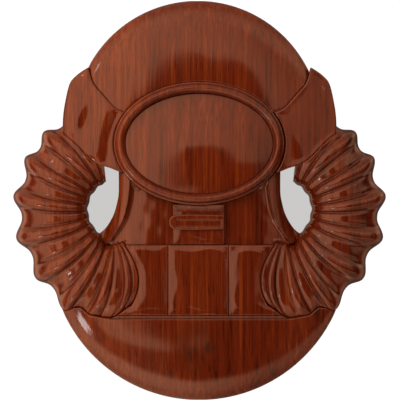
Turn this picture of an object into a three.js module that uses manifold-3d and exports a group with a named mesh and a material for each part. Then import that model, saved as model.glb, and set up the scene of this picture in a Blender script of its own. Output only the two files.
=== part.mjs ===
// A carved mahogany wall plaque: a diver's hood, an oval mask, two ribbed hoses and a rounded body,
// glued up from separate carved pieces on a flat backboard, with a swinging D-ring hanger behind.
//
// Everything is drawn lying down, in millimetres: X to the right, Y up the plaque, Z away from the
// wall. The group then stands it up, so that the front faces -Y and the wall is the plane Y = 0.

import * as THREE from 'three';
import { mergeVertices } from 'three/addons/utils/BufferGeometryUtils.js';
import Module from 'manifold-3d';

const wasm = await Module();
wasm.setup();

// Layers, from the wall out
const GAP = 0.3;
const BOARD = 12;
const SEAT = BOARD + GAP;
const BOARD_INSET = 3;
const BOARD_SHOULDER = -36;
const BOARD_NECK = 68;
const FRONT = 60;
const WIDE = 200;

// The head: three pillows that share one curve, and the oval mask
const HOOD = { x: -1.8, y: 68, radius: 110.2, rim: 18, crown: 27 };
const FLAP_PILLOW = { x: 0, y: 68, radius: 126, rim: 18, crown: 27.3 };
const BODY = { x: -0.3, y: -45.7, radius: 133.3, rim: 18, crown: 26.5 };
const PILLOW_POWER = 6;

const MASK = { x: -0.5, y: 50.5, width: 76, height: 54.9 };
const SKIRT = { inset: 0, breadth: 2.6, top: 28, ease: 1.2 };
const RING = { inset: 2.9, breadth: 6.6, top: 33.5 };
const LENS = { inset: 9.8, rim: 26, crown: 28.3, lean: 0.04 };
const OVAL_SIDES = 56;

// The neck
const NECK_TOP = 20;
const NECK_STRAP = { top: 24.5, ease: 1.5 };
const CENTRE_STRAP = { left: -23.7, right: 22, top: -4, bottom: -39.7, seat: NECK_TOP + GAP, height: 3.6 };
const CENTRE_TOP = CENTRE_STRAP.seat + CENTRE_STRAP.height;
const TAB = { left: -27.3, right: 22, top: -13.4, bottom: -26, seat: CENTRE_TOP + GAP, height: 2.8 };
const TAB_SLOT = { above: 4.2, below: 1.8, beside: 1.6, depth: 1.4 };
const BAR = { left: -22, right: 20.5, top: -8, bottom: -10.2, seat: CENTRE_TOP + GAP, height: 1.4 };
const SLAB_EASE = 0.8;

// The chest band and the bead under it
const CHEST = { top: -40.3, bottom: -103, reach: 78, shoulder: 66, shoulderTop: -70, height: 26 };
const CHEST_SEAMS = [-28.2, 26];
const BEAD = { bottom: -105.8, reach: 79.5, height: 27 };
const EAR_TOP = -70;

// The hoses: the left one, drawn round its own centre
const HOSE = {
  x: -79.3, y: -8.6, base: 2, wall: 8, lapWall: 22, crown: 27.5, outerX: 88.8, outerY: 96, inner: 20.8,
  ribHeight: 2.2, creaseDepth: 1.6, creaseAt: 0.27, scallop: 8, pitch: 24, endTaper: 8,
};
// Each rib's crest, in degrees round the hose's centre: where it meets the outer and the inner edge,
// and how far its middle bows downstream; reach adds to its outer radius. The first and last entries
// are the hose's two ends.
const RIBS = [
  { outer: 112, inner: 101, bow: -6, reach: 0 },
  { outer: 131, inner: 120, bow: 1, reach: 0 },
  { outer: 149, inner: 147, bow: 3, reach: 0 },
  { outer: 172, inner: 178, bow: 1, reach: 0 },
  { outer: 197, inner: 207, bow: 0, reach: 0 },
  { outer: 222, inner: 238, bow: 0, reach: 0 },
  { outer: 244.5, inner: 258, bow: -1, reach: 4.6 },
  { outer: 261, inner: 272, bow: 1, reach: 0 },
  { outer: 269, inner: 278, bow: 3.4, reach: 1 },
  { outer: 275, inner: 285, bow: 6.5, reach: 1 },
  { outer: 282, inner: 291, bow: 7, reach: 0 },
];
const LAST_RIB = RIBS.length - 1;
const LAP_RIB = 6;
const HOSE_ACROSS = [0, 0.04, 0.14, 0.3, 0.5, 0.7, 0.86, 0.96, 1];

// Dowels: upright ones across the glue line, and lying ones into the board's edge under each flap
const DOWEL = { radius: 4, low: 5, high: 19 };
const HOOD_DOWELS = [[-40, 142], [40, 142]];
const BODY_DOWELS = [[-55, -130], [55, -130]];
const HOSE_LAP_DOWELS = [[-100, -68], [-74, -78]];
const END_DOWEL = { radius: 3, length: 24, z: 7.5, places: [0.36, 0.8] };

// The hanger, in its pocket behind the hood
const POCKET = { halfWidth: 17, bottom: 102, top: 170, depth: 8 };
const HINGE = { y: 142, z: 4.5 };
const WIRE_RADIUS = 1.5;
const D_RING = { width: 12, leg: 11, corner: 2.5, split: 0.2 };
const PLATE = { halfWidth: 6.5, bottom: 106, thickness: 1.3, loopRadius: 3.2, loopBore: 1.9 };
const PLATE_FACE = POCKET.depth - GAP - PLATE.thickness;
const SCREW = { places: [131, 112], head: 3.2, shank: 1.6, sink: 0.05, length: 13, point: 3 };

// Closed geometries as solids, joined and cut
function weld(geometry) {
  const bare = geometry.clone();
  bare.deleteAttribute('normal');
  bare.deleteAttribute('uv');
  return mergeVertices(bare, 1e-4);
}

function toSolid(geometry) {
  const welded = weld(geometry);
  return new wasm.Manifold(new wasm.Mesh({
    numProp: 3,
    vertProperties: new Float32Array(welded.attributes.position.array),
    triVerts: new Uint32Array(welded.index.array),
  }));
}

function toGeometry(solid) {
  const { vertProperties, triVerts } = solid.getMesh();
  const geometry = new THREE.BufferGeometry();
  geometry.setAttribute('position', new THREE.BufferAttribute(new Float32Array(vertProperties), 3));
  geometry.setIndex(new THREE.BufferAttribute(new Uint32Array(triVerts), 1));
  geometry.computeVertexNormals();
  return geometry;
}

function cut(geometry, ...tools) {
  return toGeometry(tools.reduce((solid, tool) => solid.subtract(toSolid(tool)), toSolid(geometry)));
}

function keep(geometry, tool) {
  return toGeometry(toSolid(geometry).intersect(toSolid(tool)));
}

function join(...geometries) {
  const [first, ...others] = geometries.map(toSolid);
  return toGeometry(others.reduce((solid, other) => solid.add(other), first));
}

function mirrored(geometry) {
  const copy = weld(geometry).scale(-1, 1, 1);
  const corners = copy.index.array;
  for (let i = 0; i < corners.length; i += 3) {
    [corners[i], corners[i + 1]] = [corners[i + 1], corners[i]];
  }
  return copy;
}

// Outlines: lists of points, anticlockwise
function points(pairs) {
  return pairs.map(([x, y]) => new THREE.Vector2(x, y));
}

function smooth(pairs, divisions = 3) {
  return new THREE.SplineCurve(points(pairs)).getPoints(divisions * (pairs.length - 1));
}

function mirrorOutline(outline) {
  return outline.map((p) => new THREE.Vector2(-p.x, p.y)).reverse();
}

function rectangle({ left, right, bottom, top }) {
  return points([[left, bottom], [right, bottom], [right, top], [left, top]]);
}

function grow(outline, distance) {
  return outline.map((p, i) => {
    const before = outline.at(i - 1);
    const after = outline[(i + 1) % outline.length];
    const a = new THREE.Vector2(p.y - before.y, before.x - p.x).normalize();
    const b = new THREE.Vector2(after.y - p.y, p.x - after.x).normalize();
    const normal = a.clone().add(b).normalize();
    return p.clone().addScaledVector(normal, distance / Math.max(0.5, normal.dot(a)));
  });
}

// Basic solids
function prism(outline, low, high) {
  const options = { depth: high - low, bevelEnabled: false };
  return new THREE.ExtrudeGeometry(new THREE.Shape(outline), options).translate(0, 0, low);
}

function box(left, right, bottom, top, low, high) {
  const geometry = new THREE.BoxGeometry(right - left, top - bottom, high - low);
  return geometry.translate((left + right) / 2, (bottom + top) / 2, (low + high) / 2);
}

function rod(radius, low, high, x, y, sides = 12) {
  const geometry = new THREE.CylinderGeometry(radius, radius, high - low, sides);
  return geometry.rotateX(Math.PI / 2).translate(x, y, (low + high) / 2);
}

function turned(profile, sides) {
  const outline = profile.map(([radius, z]) => new THREE.Vector2(radius, z));
  return new THREE.LatheGeometry(outline, sides).rotateX(Math.PI / 2);
}

// A slab on its seat, with its front edges eased
function easedSlab(outline, seat, high, ease) {
  const geometry = new THREE.ExtrudeGeometry(new THREE.Shape(outline), {
    depth: high - seat, bevelThickness: ease, bevelSize: ease, bevelOffset: -ease, bevelSegments: 2,
  });
  return keep(geometry.translate(0, 0, seat - ease), box(-WIDE, WIDE, -WIDE, WIDE, seat, FRONT));
}

// A round pillow: a short upright rim, then a curve that flattens towards the crown
function pillow({ x, y, radius, rim, crown }) {
  const steps = 9;
  const profile = [[0, SEAT], [radius, SEAT]];
  for (let i = 0; i <= steps; i += 1) {
    const out = Math.cos((i / steps) * (Math.PI / 2));
    const lift = Math.sqrt(1 - out ** PILLOW_POWER);
    profile.push([out * radius, rim + (crown - rim) * lift]);
  }
  profile[profile.length - 1][0] = 0;
  return turned(profile, 72).translate(x, y, 0);
}

// A closed solid between a front grid and a back grid of points, rows by columns
function gridSolid(front, back) {
  const rows = front.length;
  const columns = front[0].length;
  const positions = [...front, ...back].flat().flatMap((p) => p.toArray());
  const index = [];
  const quad = (a, b, c, d) => index.push(a, b, c, a, c, d);
  const at = (row, column) => row * columns + column;
  const behind = rows * columns;
  for (let r = 0; r < rows - 1; r += 1) {
    for (let c = 0; c < columns - 1; c += 1) {
      const corners = [at(r, c), at(r, c + 1), at(r + 1, c + 1), at(r + 1, c)];
      quad(...corners);
      quad(...corners.map((corner) => corner + behind).reverse());
    }
    quad(at(r, 0), at(r + 1, 0), at(r + 1, 0) + behind, at(r, 0) + behind);
    const end = columns - 1;
    quad(at(r + 1, end), at(r, end), at(r, end) + behind, at(r + 1, end) + behind);
  }
  for (let c = 0; c < columns - 1; c += 1) {
    const end = rows - 1;
    quad(at(0, c + 1), at(0, c), at(0, c) + behind, at(0, c + 1) + behind);
    quad(at(end, c), at(end, c + 1), at(end, c + 1) + behind, at(end, c) + behind);
  }
  const geometry = new THREE.BufferGeometry();
  geometry.setAttribute('position', new THREE.Float32BufferAttribute(positions, 3));
  geometry.setIndex(index);
  return geometry;
}

// Edges that neighbouring pieces share
const FLAP_ROOT = -58;
const SEAM = smooth([[-99.5, 118.3], [-95.4, 104.8], [-86.5, 94.1], [-75.7, 82.4], [-66.5, 78], [FLAP_ROOT, 72]]);
const FLAP_LOWER_EDGE = [[-122.4, 60.2], [-110.2, 49.3], [-99, 37.6], [-89.6, 31.8], [-80, 28.7], [-70, 24.5]];
const NECK_EDGE = smooth([[-72.2, 26], [-72.2, 7], [-73.6, -2], [-77, -13.5], [-84, -25], [-91, -31]]);
const STRAP_INNER_EDGE = smooth([
  [-82, CHEST.top + GAP], [-76, -29.5], [-68.5, -18], [-64, -2], [-62, 16], [-62, 24],
]);

function flapOutline() {
  const outer = smooth([[-104, 115.6], [-110, 111.2], [-116, 104], [-120, 88], [-122, 74], FLAP_LOWER_EDGE[0]]);
  const lower = smooth(FLAP_LOWER_EDGE).slice(1);
  const seam = [...SEAM].reverse();
  return [...outer, ...lower, ...points([[FLAP_ROOT, 30]]), ...seam];
}

function hoodOutline() {
  const sky = points([[130, SEAM[0].y], [130, 190], [-130, 190], [-130, SEAM[0].y]]);
  return [...SEAM, ...mirrorOutline(SEAM), ...sky];
}

function neckOutline() {
  const foot = points([[-91, CHEST.top + GAP], [91, CHEST.top + GAP]]);
  return [...NECK_EDGE, ...foot, ...mirrorOutline(NECK_EDGE)];
}

function neckStrapOutline() {
  const foot = points([[-91, CHEST.top + GAP]]);
  return [...NECK_EDGE, ...foot, ...STRAP_INNER_EDGE];
}

function neckPanelOutline() {
  const left = STRAP_INNER_EDGE.map((p) => new THREE.Vector2(p.x + GAP, p.y)).reverse();
  return [...left, ...mirrorOutline(left)];
}

function maskOutline(inset) {
  const oval = new THREE.EllipseCurve(MASK.x, MASK.y, MASK.width - inset, MASK.height - inset);
  return oval.getPoints(OVAL_SIDES).slice(0, -1);
}

// The hose, from its top end under the flap (t = 0) to its lower end (t = LAST_RIB), and from its inner
// edge (u = 0) to its outer edge (u = 1)
function alongRibs(key, t) {
  const index = Math.min(Math.floor(t), LAST_RIB - 1);
  return THREE.MathUtils.lerp(RIBS[index][key], RIBS[index + 1][key], t - index);
}

function crest(t) {
  return Math.abs(Math.cos(Math.PI * t)) ** 2.5;
}

function hoseRadii(t, angle) {
  const index = Math.min(Math.floor(t), LAST_RIB - 1);
  const pitch = (RIBS[index + 1].outer - RIBS[index].outer) / HOSE.pitch;
  const lapping = THREE.MathUtils.smoothstep(t, LAP_RIB + 0.4, LAP_RIB + 1.2);
  const ending = THREE.MathUtils.smoothstep(t, LAST_RIB - 2, LAST_RIB);
  const scallop = HOSE.scallop * Math.sqrt(pitch) * (1 - crest(t)) * (1 - lapping);
  const shrink = scallop + HOSE.endTaper * ending - alongRibs('reach', t);
  const [a, b] = [HOSE.outerX - shrink, HOSE.outerY - shrink];
  const outer = (a * b) / Math.hypot(b * Math.cos(angle), a * Math.sin(angle));
  const turn = (alongRibs('inner', t) - 180) / 80;
  const behindNeck = THREE.MathUtils.smoothstep(alongRibs('inner', t), 243, 268);
  const inner = HOSE.inner + crest(t) + THREE.MathUtils.lerp(4 * turn ** 2, 10, behindNeck);
  return [inner, outer];
}

function hosePoint(u, t) {
  const straight = THREE.MathUtils.lerp(alongRibs('inner', t), alongRibs('outer', t), u);
  const angle = THREE.MathUtils.degToRad(straight + 4 * alongRibs('bow', t) * u * (1 - u));
  const [inner, outer] = hoseRadii(t, angle);
  const radius = THREE.MathUtils.lerp(inner, outer, u);
  return new THREE.Vector2(HOSE.x + radius * Math.cos(angle), HOSE.y + radius * Math.sin(angle));
}

// Where the hose laps over the body, its outer edge stands as high as the body does
function hoseHeight(u, t) {
  const lapping = u > 0.5 ? THREE.MathUtils.smoothstep(t, LAP_RIB - 0.6, LAP_RIB + 0.2) : 0;
  const wall = THREE.MathUtils.lerp(HOSE.wall, HOSE.lapWall, lapping);
  const arch = Math.sqrt(Math.max(0, 1 - Math.abs(2 * u - 1) ** 2.2));
  const offset = Math.abs(t - Math.round(t));
  const rib = Math.max(0, Math.cos((Math.PI * offset) / (2 * HOSE.creaseAt)));
  const crease = Math.max(0, 1 - Math.abs(offset - HOSE.creaseAt) / 0.08);
  const relief = HOSE.ribHeight * rib - HOSE.creaseDepth * crease;
  return wall + (HOSE.crown - wall) * arch + relief * Math.min(1, 1.5 * arch);
}

function hoseSteps() {
  const withinRib = [0, 0.14, HOSE.creaseAt, 0.5, 1 - HOSE.creaseAt, 0.86];
  const ribs = RIBS.slice(0, -1).flatMap((_, rib) => withinRib.map((step) => rib + step));
  return [...ribs, LAST_RIB];
}

function hoseOutline() {
  const inner = hoseSteps().map((t) => hosePoint(0, t));
  const end = HOSE_ACROSS.slice(1, -1).map((u) => hosePoint(u, LAST_RIB));
  const outer = hoseSteps().map((t) => hosePoint(1, t)).reverse();
  return [...inner, ...end, ...outer].reverse();
}

// Dowels, and with a spread, their holes
function uprightDowels(places, spread = 0) {
  return places.map(([x, y]) => rod(DOWEL.radius + spread, DOWEL.low - spread, DOWEL.high + spread, x, y));
}

function endDowels(spread = 0) {
  const from = new THREE.Vector2(...FLAP_LOWER_EDGE[0]);
  const to = new THREE.Vector2(...FLAP_LOWER_EDGE[3]);
  const slope = Math.atan2(to.y - from.y, to.x - from.x);
  const radius = END_DOWEL.radius + spread;
  return END_DOWEL.places.map((place) => {
    const centre = from.clone().lerp(to, place);
    const geometry = new THREE.CylinderGeometry(radius, radius, END_DOWEL.length + 2 * spread, 12);
    return geometry.rotateZ(slope).translate(centre.x, centre.y, END_DOWEL.z);
  });
}

function hoseDowels(spread = 0) {
  return [...uprightDowels(HOSE_LAP_DOWELS, spread), ...endDowels(spread)];
}

// Cutters that several pieces share
const FLAP_LEFT = flapOutline();
const FLAP_RIGHT = mirrorOutline(FLAP_LEFT);
const STRAP_LEFT = neckStrapOutline();
const STRAP_RIGHT = mirrorOutline(STRAP_LEFT);
const MASK_CUTTER = prism(maskOutline(-GAP), -1, FRONT);
const FLAP_CUTTERS = [FLAP_LEFT, FLAP_RIGHT].map((outline) => prism(grow(outline, GAP), -1, FRONT));
const HOSE_CUTTER = prism(grow(hoseOutline(), GAP), 0, FRONT);
const HOSE_CUTTERS = [HOSE_CUTTER, mirrored(HOSE_CUTTER)];
const SCREW_HOLES = SCREW.places.map((y) => rod(SCREW.shank + GAP, 0, PLATE_FACE + SCREW.length + GAP, 0, y));

// The backboard
function boardBlank(spread = 0) {
  const edge = spread - BOARD_INSET;
  const face = BOARD + spread;
  const head = rod(HOOD.radius + edge, 0, face, HOOD.x, HOOD.y, 72);
  const body = rod(BODY.radius + edge, 0, face, BODY.x, BODY.y, 72);
  return join(
    keep(head, box(-WIDE, WIDE, HOOD.y, WIDE, 0, face)),
    keep(body, box(-WIDE, WIDE, -WIDE, BOARD_SHOULDER + spread, 0, face)),
    prism(grow(neckOutline(), spread), 0, face),
    box(-BOARD_NECK, BOARD_NECK, NECK_EDGE[0].y - 1, HOOD.y + 1, 0, face),
    prism(grow(FLAP_LEFT, spread), 0, face),
    prism(grow(FLAP_RIGHT, spread), 0, face),
  );
}

function backboard() {
  const pocket = box(-POCKET.halfWidth, POCKET.halfWidth, POCKET.bottom, POCKET.top, -1, POCKET.depth);
  const uprightHoles = uprightDowels([...HOOD_DOWELS, ...BODY_DOWELS], GAP);
  const hoseHoles = hoseDowels(GAP);
  return cut(boardBlank(), pocket, ...uprightHoles, ...hoseHoles, ...hoseHoles.map(mirrored), ...SCREW_HOLES);
}

// The head
function hood() {
  const blank = keep(pillow(HOOD), prism(hoodOutline(), 0, FRONT));
  return cut(blank, MASK_CUTTER, ...FLAP_CUTTERS, ...uprightDowels(HOOD_DOWELS, GAP), ...SCREW_HOLES);
}

function flap(outline) {
  return cut(keep(pillow(FLAP_PILLOW), prism(outline, 0, FRONT)), MASK_CUTTER);
}

// A band round the mask: a profile of [inset from the mask's edge, height], turned and squeezed oval
function ovalBand(profile) {
  const closed = [...profile, profile[0]].map(([inset, z]) => [MASK.width - inset, z]);
  const geometry = turned(closed, OVAL_SIDES);
  const position = geometry.attributes.position;
  for (let i = 0; i < position.count; i += 1) {
    const radius = Math.hypot(position.getX(i), position.getY(i));
    const squeezed = MASK.height - (MASK.width - radius);
    position.setY(i, (position.getY(i) / radius) * squeezed);
  }
  return geometry.translate(MASK.x, MASK.y, 0);
}

function maskSkirt() {
  const { inset, breadth, top, ease } = SKIRT;
  const inner = inset + breadth;
  return ovalBand([[inner, SEAT], [inset, SEAT], [inset, top - ease], [inset + ease, top], [inner, top]]);
}

function maskRing() {
  const { inset, breadth, top } = RING;
  const radius = breadth / 2;
  const steps = 6;
  const profile = [[inset + breadth, SEAT], [inset, SEAT]];
  for (let i = 0; i <= steps; i += 1) {
    const angle = (i / steps) * Math.PI;
    profile.push([inset + radius * (1 - Math.cos(angle)), top - radius + radius * Math.sin(angle)]);
  }
  return ovalBand(profile);
}

// The lens is a shallow dome whose top leans back, deeper into the ring
function maskLens() {
  const width = MASK.width - LENS.inset;
  const squeeze = (MASK.height - LENS.inset) / width;
  const rings = 5;
  const profile = [[0, SEAT], [width, SEAT]];
  for (let i = 0; i <= rings; i += 1) {
    const out = 1 - i / rings;
    profile.push([out * width, LENS.rim + (LENS.crown - LENS.rim) * (1 - out ** 2)]);
  }
  const geometry = turned(profile, OVAL_SIDES).scale(1, squeeze, 1);
  const position = geometry.attributes.position;
  for (let i = 0; i < position.count; i += 1) {
    if (position.getZ(i) > SEAT + 1) {
      position.setZ(i, position.getZ(i) - LENS.lean * position.getY(i));
    }
  }
  return geometry.translate(MASK.x, MASK.y, 0);
}

// The neck
function neckPanel() {
  const straps = [STRAP_LEFT, STRAP_RIGHT].map((outline) => prism(grow(outline, GAP), 0, FRONT));
  return cut(prism(neckPanelOutline(), SEAT, NECK_TOP), MASK_CUTTER, ...FLAP_CUTTERS, ...HOSE_CUTTERS, ...straps);
}

function neckStrap() {
  const blank = easedSlab(STRAP_LEFT, SEAT, NECK_STRAP.top, NECK_STRAP.ease);
  return cut(blank, MASK_CUTTER, ...FLAP_CUTTERS, ...HOSE_CUTTERS);
}

function flatPiece(shape) {
  return easedSlab(rectangle(shape), shape.seat, shape.seat + shape.height, SLAB_EASE);
}

function strapTab() {
  const radius = (TAB.top - TAB.bottom) / 2;
  const outline = new THREE.Shape();
  outline.moveTo(TAB.right, TAB.bottom);
  outline.lineTo(TAB.right, TAB.top);
  outline.absarc(TAB.left + radius, TAB.bottom + radius, radius, Math.PI / 2, (3 * Math.PI) / 2);
  const face = TAB.seat + TAB.height;
  const { above, below, beside, depth } = TAB_SLOT;
  const left = TAB.left + radius;
  const slot = box(left, TAB.right - beside, TAB.bottom + below, TAB.top - above, face - depth, FRONT);
  return cut(easedSlab(outline.getPoints(8), TAB.seat, face, SLAB_EASE), slot);
}

// The chest band and the lower body
function chestPanel(outline) {
  return cut(easedSlab(outline, SEAT, CHEST.height, SLAB_EASE), ...HOSE_CUTTERS);
}

// A side panel reaches round the hose's lower end, down to the bead
function sidePanelOutline(seam) {
  const { top, bottom, reach, shoulder, shoulderTop } = CHEST;
  const side = Math.sign(seam);
  const outline = points([
    [seam, bottom], [side * reach, bottom], [side * reach, shoulderTop], [side * shoulder, shoulderTop],
    [side * shoulder, top], [seam, top],
  ]);
  return side > 0 ? outline : outline.reverse();
}

function chestBead() {
  const top = CHEST.bottom - GAP;
  const outline = rectangle({ left: -BEAD.reach, right: BEAD.reach, bottom: BEAD.bottom, top });
  return cut(easedSlab(outline, SEAT, BEAD.height, SLAB_EASE), ...HOSE_CUTTERS);
}

function lowerBody() {
  const top = BEAD.bottom - GAP;
  const side = BEAD.reach + GAP;
  const region = points([
    [-WIDE, -WIDE], [WIDE, -WIDE], [WIDE, EAR_TOP], [side, EAR_TOP], [side, top],
    [-side, top], [-side, EAR_TOP], [-WIDE, EAR_TOP],
  ]);
  const blank = keep(pillow(BODY), prism(region, 0, FRONT));
  return cut(blank, ...HOSE_CUTTERS, ...uprightDowels(BODY_DOWELS, GAP));
}

function hose() {
  const grid = (height) => hoseSteps().map((t) => HOSE_ACROSS.map((u) => {
    const { x, y } = hosePoint(u, t);
    return new THREE.Vector3(x, y, height(u, t));
  }));
  const blank = gridSolid(grid(hoseHeight), grid(() => HOSE.base));
  return cut(blank, boardBlank(GAP), ...FLAP_CUTTERS, ...hoseDowels(GAP));
}

// The hanger
function loopRod(radius, length) {
  const geometry = new THREE.CylinderGeometry(radius, radius, length, 20);
  return geometry.rotateZ(Math.PI / 2).translate(0, HINGE.y, HINGE.z);
}

function countersink(y) {
  const { head, shank } = SCREW;
  const back = POCKET.depth;
  const profile = [
    [0, PLATE_FACE - 1], [head + GAP, PLATE_FACE - 1], [head + GAP, PLATE_FACE],
    [shank + GAP, back - GAP], [shank + GAP, back], [0, back],
  ];
  return turned(profile, 16).translate(0, y, 0);
}

function hangerPlate() {
  const { halfWidth, bottom, thickness, loopRadius, loopBore } = PLATE;
  const strip = box(-halfWidth, halfWidth, bottom, HINGE.y, PLATE_FACE, PLATE_FACE + thickness);
  const folded = join(strip, loopRod(loopRadius, 2 * halfWidth));
  return cut(folded, loopRod(loopBore, 2 * halfWidth + 2), ...SCREW.places.map(countersink));
}

function hangerScrew(y) {
  const { head, shank, sink, length, point } = SCREW;
  const tip = PLATE_FACE + length;
  const profile = [
    [0, PLATE_FACE + sink], [head, PLATE_FACE + sink], [shank, PLATE_FACE + PLATE.thickness],
    [shank, tip - point], [0, tip],
  ];
  return turned(profile, 16).translate(0, y, 0);
}

// A bent wire whose butted ends meet inside the plate's loop
function hangerRing() {
  const { width, leg, corner, split } = D_RING;
  const bend = width - corner;
  const path = new THREE.Path();
  path.moveTo(split, 0);
  path.lineTo(bend, 0);
  path.absarc(bend, -corner, corner, Math.PI / 2, 0, true);
  path.absarc(0, -leg, width, 0, Math.PI, true);
  path.absarc(-bend, -corner, corner, Math.PI, Math.PI / 2, true);
  path.lineTo(-split, 0);
  const route = path.getSpacedPoints(48).map((p) => new THREE.Vector3(p.x, HINGE.y + p.y, HINGE.z));
  const section = new THREE.Shape();
  section.absarc(0, 0, WIRE_RADIUS, 0, 2 * Math.PI);
  const extrudePath = new THREE.CatmullRomCurve3(route);
  return new THREE.ExtrudeGeometry(section, { steps: 48, curveSegments: 5, bevelEnabled: false, extrudePath });
}

// The assembly
const MAHOGANY = { color: 0x7a2f17, roughness: 0.28, metalness: 0 };
const BEECH = { color: 0xc9a06a, roughness: 0.7, metalness: 0 };
const STEEL = { color: 0xb0aca2, roughness: 0.35, metalness: 1 };

const plaque = new THREE.Group();
plaque.rotation.x = Math.PI / 2;

function add(name, geometry, finish) {
  const mesh = new THREE.Mesh(geometry, new THREE.MeshStandardMaterial(finish));
  mesh.name = name;
  plaque.add(mesh);
}

function addPair(name, geometry, finish) {
  add(`${name}_left`, geometry, finish);
  add(`${name}_right`, mirrored(geometry), finish);
}

function addNumbered(name, geometries, finish) {
  geometries.forEach((geometry, i) => add(`${name}_${i + 1}`, geometry, finish));
}

add('backboard', backboard(), MAHOGANY);
add('hood', hood(), MAHOGANY);
addPair('flap', flap(FLAP_LEFT), MAHOGANY);
add('mask_skirt', maskSkirt(), MAHOGANY);
add('mask_ring', maskRing(), MAHOGANY);
add('mask_lens', maskLens(), MAHOGANY);
add('neck_panel', neckPanel(), MAHOGANY);
addPair('neck_strap', neckStrap(), MAHOGANY);
add('centre_strap', cut(flatPiece(CENTRE_STRAP), MASK_CUTTER), MAHOGANY);
add('strap_tab', strapTab(), MAHOGANY);
add('strap_bar', flatPiece(BAR), MAHOGANY);
const [leftSeam, rightSeam] = CHEST_SEAMS;
const centrePanel = { left: leftSeam + GAP / 2, right: rightSeam - GAP / 2, ...CHEST };
add('chest_panel_left', chestPanel(sidePanelOutline(leftSeam - GAP / 2)), MAHOGANY);
add('chest_panel_centre', chestPanel(rectangle(centrePanel)), MAHOGANY);
add('chest_panel_right', chestPanel(sidePanelOutline(rightSeam + GAP / 2)), MAHOGANY);
add('chest_bead', chestBead(), MAHOGANY);
add('lower_body', lowerBody(), MAHOGANY);
addPair('hose', hose(), MAHOGANY);
addNumbered('hood_dowel', uprightDowels(HOOD_DOWELS), BEECH);
addNumbered('body_dowel', uprightDowels(BODY_DOWELS), BEECH);
addNumbered('hose_dowel_left', hoseDowels(), BEECH);
addNumbered('hose_dowel_right', hoseDowels().map(mirrored), BEECH);
add('hanger_plate', hangerPlate(), STEEL);
add('hanger_ring', hangerRing(), STEEL);
addNumbered('hanger_screw', SCREW.places.map(hangerScrew), STEEL);

export default plaque;
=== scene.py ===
# The looks of a carved mahogany wall plaque: a diver's hood, an oval mask, two ribbed hoses and a
# rounded body. Each carved piece is meshed again here, finer than its CAD solid and on the same outline,
# which is SNUG larger so that the glue gaps close up to hairlines.
#
# Shapes are drawn lying down, in millimetres: X to the right, Y up the plaque, Z away from the wall.
# place() stands them up in the frame, in metres, with the front facing -Y.

import math

import bpy
import numpy as np
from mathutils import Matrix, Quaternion, Vector
from mathutils.geometry import delaunay_2d_cdt


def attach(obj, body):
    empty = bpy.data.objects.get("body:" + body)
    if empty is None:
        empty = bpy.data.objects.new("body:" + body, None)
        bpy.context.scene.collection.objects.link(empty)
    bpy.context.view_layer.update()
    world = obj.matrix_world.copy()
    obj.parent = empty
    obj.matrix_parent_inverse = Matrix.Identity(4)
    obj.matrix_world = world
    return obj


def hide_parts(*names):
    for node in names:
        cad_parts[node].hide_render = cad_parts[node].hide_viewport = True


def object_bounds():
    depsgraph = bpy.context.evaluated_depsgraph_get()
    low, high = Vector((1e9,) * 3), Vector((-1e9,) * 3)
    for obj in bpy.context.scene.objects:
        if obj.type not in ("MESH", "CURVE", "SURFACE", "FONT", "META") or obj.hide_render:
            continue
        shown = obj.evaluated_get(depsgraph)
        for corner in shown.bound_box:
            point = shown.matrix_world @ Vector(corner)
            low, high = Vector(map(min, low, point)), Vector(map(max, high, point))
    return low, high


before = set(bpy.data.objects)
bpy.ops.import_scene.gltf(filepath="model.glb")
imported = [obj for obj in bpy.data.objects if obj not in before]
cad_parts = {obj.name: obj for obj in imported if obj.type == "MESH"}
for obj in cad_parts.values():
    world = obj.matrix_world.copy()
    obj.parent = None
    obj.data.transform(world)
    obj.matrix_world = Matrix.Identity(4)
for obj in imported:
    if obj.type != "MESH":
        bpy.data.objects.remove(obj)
cad_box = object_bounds()

# Sizes. Most of them are as in the CAD model
SEAT = 12.3
HOOD = {"x": -1.8, "y": 68, "radius": 110.2, "rim": 18, "crown": 27}
FLAP = {"x": 0, "y": 68, "radius": 126, "rim": 18, "crown": 27.3}
BODY = {"x": -0.3, "y": -45.7, "radius": 133.3, "rim": 18, "crown": 26.5}
PILLOW_POWER = 6

# Where the hoses rest on the backboard: its round edge and its shoulder, with the glue gap
BOARD_RADIUS = 130.6
BOARD_SHOULDER = -35.7

MASK = {"x": -0.5, "y": 50.5, "width": 76, "height": 54.9}
LENS = {"inset": 9.8, "rim": 26, "crown": 28.3, "lean": 0.04}
TAB_TOP = 27
TAB_SLOT = {"left": -21, "right": 20.4, "bottom": -24.2, "upper": -17.6, "depth": 1.4}
NECK = {"top": 20, "flat": 42.5, "fall": 0.0018}
NECK_STRAP = {"top": 24.4, "edge": 63.5, "waist": 14, "flare": 0.0035, "slope": 0.06, "roll": 0.05}

HOSE = {
    "x": -79.3, "y": -8.6, "base": 2, "wall": 8, "lap_wall": 22, "crown": 27.5, "outer_x": 88.8,
    "outer_y": 96, "inner": 20.8, "inner_neck": 10, "rib": 2.2, "crease": 1.2, "crease_at": 0.25,
    "crease_width": 0.07, "scallop": 8, "pitch": 24, "taper": 8, "end_ease": 2,
}
# Each rib's crest, in degrees round the hose's centre: at the outer edge, at the inner edge, and how
# far its middle bows downstream; then what it adds to the outer radius
RIBS = [
    (112, 101, -6, 0), (131, 120, 1, 0), (149, 147, 3, 0), (172, 178, 1, 0), (197, 207, 0, 0),
    (222, 238, 0, 0), (244.5, 258, -1, 4.6), (261, 272, 1, 0), (269, 278, 3.4, 1), (275, 285, 6.5, 1),
    (282, 291, 7, 0),
]
LAST_RIB = len(RIBS) - 1
LAP_RIB = 6

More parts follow.
